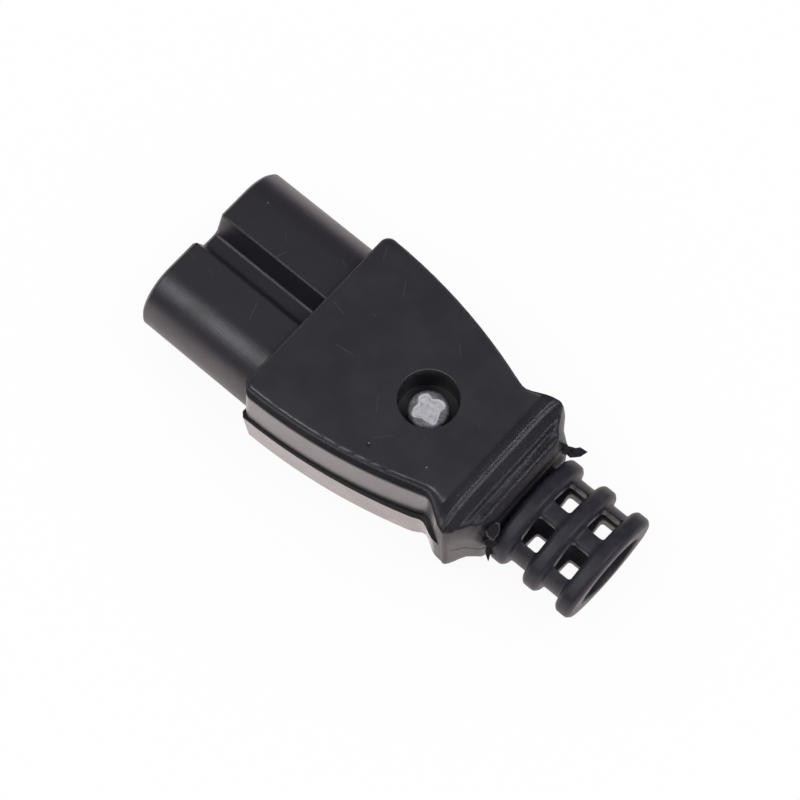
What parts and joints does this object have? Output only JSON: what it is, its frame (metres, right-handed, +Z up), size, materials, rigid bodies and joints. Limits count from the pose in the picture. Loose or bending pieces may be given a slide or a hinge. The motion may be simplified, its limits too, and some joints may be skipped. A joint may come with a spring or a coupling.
{
  "type": "figure eight power connector",
  "caption": "Rewirable figure-eight mains connector: grooved nose over slit sleeves, screwed half shells, flared neck and ribbed flat cord relief.",
  "frame": {"origin": "on the surface that the connector lies on, under the middle of its length and width", "axes": "+X along the nose towards the mating face, +Z up through the screw side, seam parallel to XY"},
  "size_m": [0.04, 0.0176, 0.01],
  "materials": {
    "shell_plastic": "satin",
    "nose_plastic": "satin",
    "boot_rubber": "matte",
    "contact_brass": "drawn",
    "screw_steel": "zinc plated"
  },
  "bodies": {
    "root": {"upper_shell": "shell_plastic", "lower_shell": "shell_plastic", "contact_carrier": "nose_plastic", "contact_near": "contact_brass", "contact_far": "contact_brass", "terminal_screw_near": "screw_steel", "terminal_screw_far": "screw_steel", "housing_screw": "screw_steel", "strain_relief_boot": "boot_rubber"}
  },
  "joints": []
}
